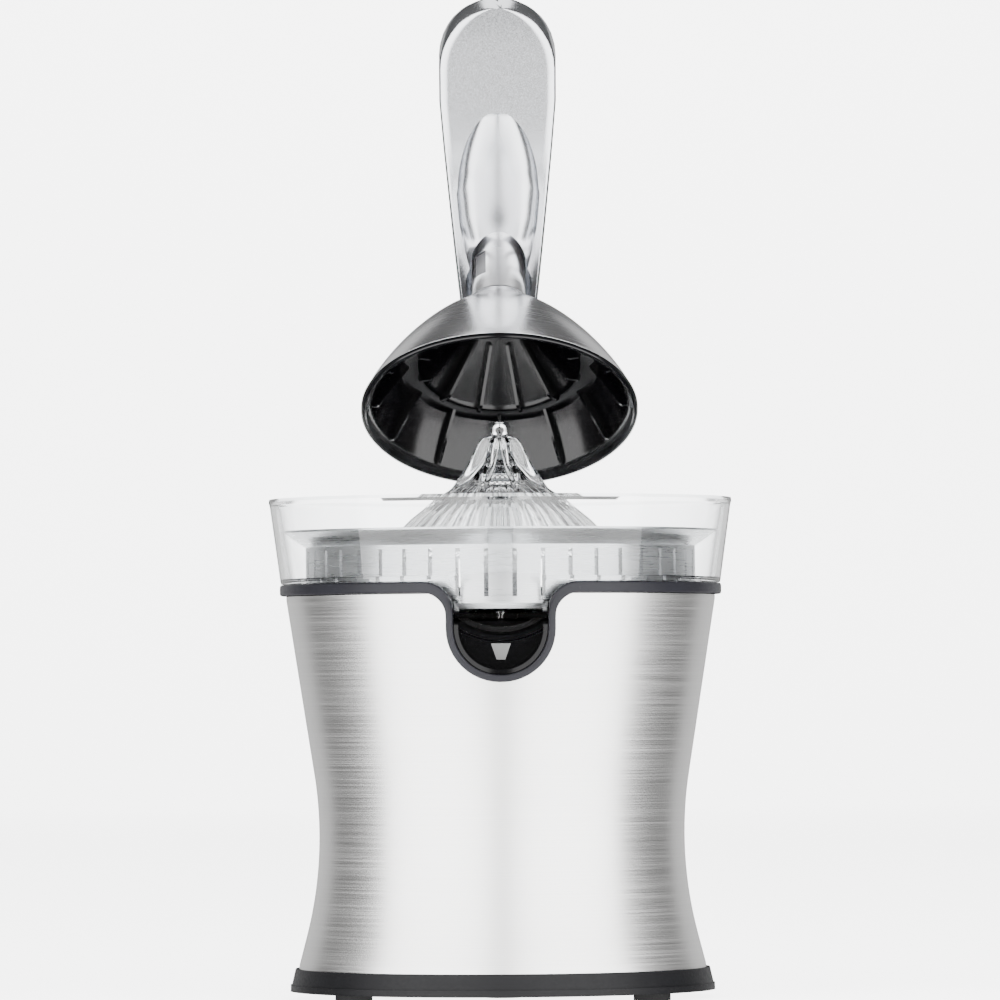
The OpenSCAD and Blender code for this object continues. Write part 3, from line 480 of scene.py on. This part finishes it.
def build_arm():
    """The casting with its channel, the recess for the coupler and the slot for the hinge, and its knuckles."""
    ys = [TIP_Y + TIP_LENGTH * (1 - math.cos(math.radians(a))) for a in (5, 9, 14, 20, 27, 35, 43, 52, 61, 70, 80)]
    ys += [TIP_Y + TIP_LENGTH + 1.6 * i for i in range(0, 8)]
    ys += [-51 + 2.5 * i for i in range(0, 48)]
    ys = sorted(y for y in ys if y <= BEND_Y)
    loops = []
    for y in ys:
        tip = max(0.0, 1 - (y - TIP_Y) / 9)
        low = (y, underside_z(y) + 2.2 * tip ** 2)
        high = (y + 1.2 * tip, top_side_z(y) - 2.2 * tip ** 2)
        loops.append(arm_section(low, high, arm_half_w(y)))
    for i in range(1, 17):
        t = i / 16
        low = bezier((BEND_Y, underside_z(BEND_Y)), (STEM_Y, 201), (STEM_Y, 186), t)
        high = bezier((BEND_Y, top_side_z(BEND_Y)), (BACK_Y + 1, 225), (BACK_Y, 190), t)
        loops.append(arm_section(low, high, arm_half_w(blend(BEND_Y, 92, t))))
    for i in range(1, 9):
        z = blend(186, hinge.z / MM + 4.6, i / 8)
        loops.append(arm_section((STEM_Y, z), (blend(BACK_Y, 109, i / 8), z), STEM_W))
    bm = bmesh.new()
    loft(bm, loops)
    piece = finish_mesh("lever_casting", bm, satin_arm, "lever", ("lever_arm",), 50)
    cut(piece, channel_tool())
    recess = bmesh.new()
    revolve(recess, [(0, 0.2), (RECESS_R * MM, 0.2), (RECESS_R * MM, RECESS_TOP * MM), (0, RECESS_TOP * MM)], 96)
    cut(piece, recess)
    slot = bmesh.new()
    corners = ((-SLOT_W, 130), (SLOT_W, 130), (SLOT_W, 158), (-SLOT_W, 158))
    loft(slot, [[(x * MM, y * MM, z * MM) for x, z in corners] for y in (80, 130)])
    cut(piece, slot)
    piece.data.transform(RAISED)
    smooth(piece, 40)
    knuckles = bmesh.new()
    turn = RAISED @ Matrix.Translation(hinge) @ Matrix.Rotation(math.radians(90), 4, "Y")
    for side in (-1, 1):
        low, high = sorted((side * SLOT_W, side * STEM_W))
        face = KNUCKLE_R - KNUCKLE_EDGE
        outline = [(PIN_HOLE_R, low), (face, low), (KNUCKLE_R, low + KNUCKLE_EDGE),
                   (KNUCKLE_R, high - KNUCKLE_EDGE), (face, high), (PIN_HOLE_R, high)]
        revolve(knuckles, [(r * MM, x * MM) for r, x in outline], 64, turn)
    finish_mesh("lever_knuckles", knuckles, satin_arm, "lever")


# ---------------------------------------------------------------- pressing dome, in mm above its rim
RIM_Z = 177.2
ON_RIM = RAISED @ Matrix.Translation((0, 0, RIM_Z * MM))
DOME_R, DOME_H = 53.5, 52.0


def dome_out(h):
    """Radius of the dome's outside."""
    return DOME_R * (1 - (h / DOME_H) ** 1.2) ** (1 / 1.6)


def build_dome():
    """The steel shell with its rounded neck."""
    outer = [(dome_out(2) - 0.3, 2.0), (dome_out(2.3), 2.3)] + [(dome_out(h), h) for h in range(3, 46)]
    neck = [(14.9, 46.6), (13.9, 47.4), (13.0, 48.2), (12.2, 49.2), (11.7, 50.2), (11.4, 50.7), (11.0, 51)]
    inner = [(6.2, 51), (6.2, 49.8), (9.8, 49.8)] + [(dome_out(h) - 1.3, h - 1.0) for h in range(45, 30, -2)]
    inner += [(dome_out(h) - 1.3, h) for h in range(28, 2, -3)] + [(dome_out(2) - 1.3, 2)]
    bm = bmesh.new()
    revolve(bm, [(r * MM, h * MM) for r, h in outer + neck + inner], 224, ON_RIM)
    finish_mesh("dome_skin", bm, steel_dome, "dome", ("dome_shell",), 40)


def rib_loops(outline, thickness):
    """A thin rib standing on the XZ plane."""
    return [[(r * MM, y * MM, h * MM) for r, h in outline] for y in (-thickness / 2, thickness / 2)]


def build_liner():
    """The black liner: two tiers with a shoulder between them, and ribs on each."""
    lip = [(51.6, 0.35), (51.9, 0.05), (52.4, 0.0), (52.9, 0.1), (53.2, 0.5), (53.2, 1.7), (53.0, 2.0)]
    outer = [(dome_out(h) - 1.5, h) for h in (2.4, 5, 8, 11, 14, 17, 20, 22)]
    back = [(33.2, 23.2), (14.6, 42.6), (10, 46), (8, 47.6), (2.1, 47.6), (2.1, 46), (3.7, 46), (3.7, 44.5)]
    inner = [(8, 44.5), (9, 44.3), (13.2, 40.5), (22.1, 31.2), (30.2, 22.8), (31, 21.8), (31.3, 21), (32, 20.75)]
    tier = [(37.2, 20.5), (38.2, 20.3)] + [(dome_out(h) - 3.6, h) for h in (18, 16, 13, 10, 8, 6, 4, 3)]
    outline = lip + outer + back + inner + tier + [(50.3, 1.2), (51.2, 0.8)]
    bm = bmesh.new()
    revolve(bm, [(r * MM, h * MM) for r, h in outline], 224, ON_RIM)
    count = 12
    upper = [(32.4, 20.9), (31.6, 22.0), (13.8, 40.3), (12.0, 38.9), (11.8, 38.0), (26.5, 20.6), (26.9, 19.8),
             (27.6, 19.4), (31.6, 19.4), (32.1, 19.8)]
    lower = [(38.6, 20.9), (44.6, 12.6), (49.7, 2.8), (47.2, 2.7), (46.1, 3.4), (40.4, 12.2), (34.6, 20.9)]
    first, thickness = math.radians(105), 1.2
    for i in range(count):
        turn = first + 2 * math.pi * i / count
        loft(bm, rib_loops(upper, thickness), matrix=ON_RIM @ Matrix.Rotation(turn, 4, "Z"))
        loft(bm, rib_loops(lower, thickness), matrix=ON_RIM @ Matrix.Rotation(turn + math.pi / count, 4, "Z"))
    finish_mesh("dome_ribbed_liner", bm, liner_black, "dome", ("dome_liner",), 30)


# ---------------------------------------------------------------- reamer, in mm, from its tip down
REAMER_TOP, REAMER_FOOT = 219, 167
REAMER_SKIN = [(0.0, 219), (1.2, 218.7), (2.0, 218.0), (2.6, 216.5), (3.0, 214.6), (3.4, 213.0), (4.8, 208.0),
               (8.0, 202.0), (13.0, 196.4), (17.0, 193.8), (20.8, 191.4), (24.4, 189.0),
               (26.6, 187.0), (29.6, 184.6), (33.0, 181.9), (36.8, 178.2), (40.0, 174.4), (42.4, 171.0),
               (43.4, 168.6), (43.5, 167.0)]
FIN_EDGE = [(3.0, 213.2), (5.4, 212.9), (7.2, 212.2), (8.6, 210.6), (10.2, 207.4), (12.2, 203.6), (14.2, 200.6),
            (16.4, 197.4), (19.0, 193.6), (21.6, 191.2)]
REAMER_BORE = [(41.4, 167.0), (40.6, 170), (37.6, 174), (30.8, 181), (24.2, 186), (18.4, 190), (13, 193),
               (8.6, 194), (8.5, 172), (4.2, 172), (4.2, 187), (0.3, 187.2)]


def at_height(outline, z):
    """Radius of a falling outline at height z."""
    for (r0, z0), (r1, z1) in zip(outline[:-1], outline[1:]):
        if z0 >= z >= z1:
            return blend(r0, r1, (z0 - z) / max(1e-6, z0 - z1))
    return 0.0


def build_reamer(fins=8, ribs=40, around=480):
    """The clear cone: tall fins that end in a shoulder, and fine ribs down its skirt."""
    zs = [REAMER_TOP - 0.02] + [REAMER_TOP - (REAMER_TOP - REAMER_FOOT) * (i / 130) for i in range(1, 131)]
    loops = []
    for z in zs:
        base = max(0.15, at_height(REAMER_SKIN, z))
        fin = at_height(FIN_EDGE, z)
        rib = 0.75 * ease((199 - z) / 6) * ease((z - 169) / 4)
        loop = []
        for i in range(around):
            a = 2 * math.pi * i / around
            off = (a % (2 * math.pi / fins)) - math.pi / fins
            crest = ease(1.55 - 0.5 * (base + max(base, fin)) * abs(math.sin(off)) / 1.3)
            r = base + max(0.0, fin - base) * crest + rib * (0.5 + 0.5 * math.cos(ribs * a)) ** 2.5
            loop.append((r * MM * math.cos(a), r * MM * math.sin(a), z * MM))
        loops.append(loop)
    for r, z in REAMER_BORE:
        loops.append([(x, y, z * MM) for x, y in circle(r * MM, around)])
    bm = bmesh.new()
    loft(bm, loops)
    finish_mesh("reamer_ribbed", bm, clear, "reamer", ("reamer_cone",), 45)


# ---------------------------------------------------------------- studio
def build_stage():
    """A pale floor that curves up into a backdrop."""
    bm = bmesh.new()
    half, bend = 5.0, 1.0
    turn = [(-half, 0.0), (half, 0.0)] + arc((half, bend), bend, -80, 0, 8) + [(half + bend, 5.0)]
    rows = [[bm.verts.new((x, y, z)) for y, z in turn] for x in (-half, half)]
    for i in range(len(turn) - 1):
        bm.faces.new((rows[0][i], rows[1][i], rows[1][i + 1], rows[0][i + 1]))
    mesh = bpy.data.meshes.new("studio_floor")
    bm.to_mesh(mesh)
    bm.free()
    floor = bpy.data.objects.new("studio_floor", mesh)
    bpy.context.scene.collection.objects.link(floor)
    smooth(floor, 60)
    mesh.materials.append(floor_with_painted_light())
    floor.visible_glossy = False
    floor.visible_shadow = False


def floor_with_painted_light():
    """White paper with painted light: it glows brightest along the strip behind the juicer, a painted pool of
    light.
    """
    mat = material("pale_floor_painted_light", (0.85, 0.85, 0.85), 0.0, 0.6, Emission_Color=(1, 1, 1, 1))
    nodes, links = mat.node_tree.nodes, mat.node_tree.links
    coords, split = nodes.new("ShaderNodeTexCoord"), nodes.new("ShaderNodeSeparateXYZ")
    reach, widen, ramp = nodes.new("ShaderNodeMath"), nodes.new("ShaderNodeMath"), nodes.new("ShaderNodeMapRange")
    reach.operation, widen.operation = "ABSOLUTE", "MULTIPLY_ADD"
    widen.inputs[1].default_value = -0.08
    ramp.interpolation_type = "SMOOTHSTEP"
    # Painted light: emission strength 4.5 near the middle line, fading to none between 0.3 m and 0.6 m out, and
    # widening towards the back.
    for socket, value in (("From Min", 0.3), ("From Max", 0.6), ("To Min", 4.5), ("To Max", 0.0)):
        ramp.inputs[socket].default_value = value
    links.new(coords.outputs["Object"], split.inputs["Vector"])
    links.new(split.outputs["X"], reach.inputs[0])
    links.new(split.outputs["Y"], widen.inputs[0])
    links.new(reach.outputs[0], widen.inputs[2])
    links.new(widen.outputs[0], ramp.inputs["Value"])
    links.new(ramp.outputs["Result"], nodes["Principled BSDF"].inputs["Emission Strength"])
    return mat


def area_light(name, place, target, width, height, power):
    """A soft light that the camera does not see."""
    data = bpy.data.lights.new(name, "AREA")
    data.energy = power
    data.shape = "RECTANGLE"
    data.size, data.size_y = width, height
    light = bpy.data.objects.new(name, data)
    bpy.context.scene.collection.objects.link(light)
    light.location = place
    light.rotation_euler = (Vector(target) - Vector(place)).to_track_quat("-Z", "Y").to_euler()
    light.visible_camera = False


def build_lights():
    """Two tall softboxes in front, and faint lights above and behind, in metres and watts."""
    for side in (-1, 1):
        area_light("softbox", (side * 1.42, -1.62, -0.7), (0, 0, -0.7), 3.0, 6.0, 400)
    area_light("top", (0, 0.1, 1.9), (0, 0, 0.2), 1.0, 1.0, 12)
    for side in (-1, 1):
        area_light("rear_softbox", (side * 1.35, 2.2, 0.4), (0, 0, 0.4), 1.6, 3.0, 12)
    world = bpy.data.worlds.new("studio")
    bpy.context.scene.world = world
    world.use_nodes = True
    world.node_tree.nodes["Background"].inputs["Color"].default_value = (1, 1, 1, 1)
    world.node_tree.nodes["Background"].inputs["Strength"].default_value = 0.15


def build_camera():
    """A long lens in front, nearly level, as in the photograph."""
    data = bpy.data.cameras.new("photo_view")
    data.lens, data.sensor_width = 284, 36
    data.clip_end = 50
    camera = bpy.data.objects.new("photo_view", data)
    bpy.context.scene.collection.objects.link(camera)
    place, target = Vector((0, -3.0, 0.115)), Vector((0, 0, 0.189))
    aim = (target - place).to_track_quat("-Z", "Y").to_matrix().to_4x4()
    roll = Matrix.Rotation(math.radians(-0.35), 4, "Z")
    camera.matrix_world = Matrix.Translation(place) @ aim @ roll
    bpy.context.scene.camera = camera


build_housing()
build_trim()
build_arm()
build_dome()
build_liner()
build_reamer()
build_stage()
build_lights()
build_camera()
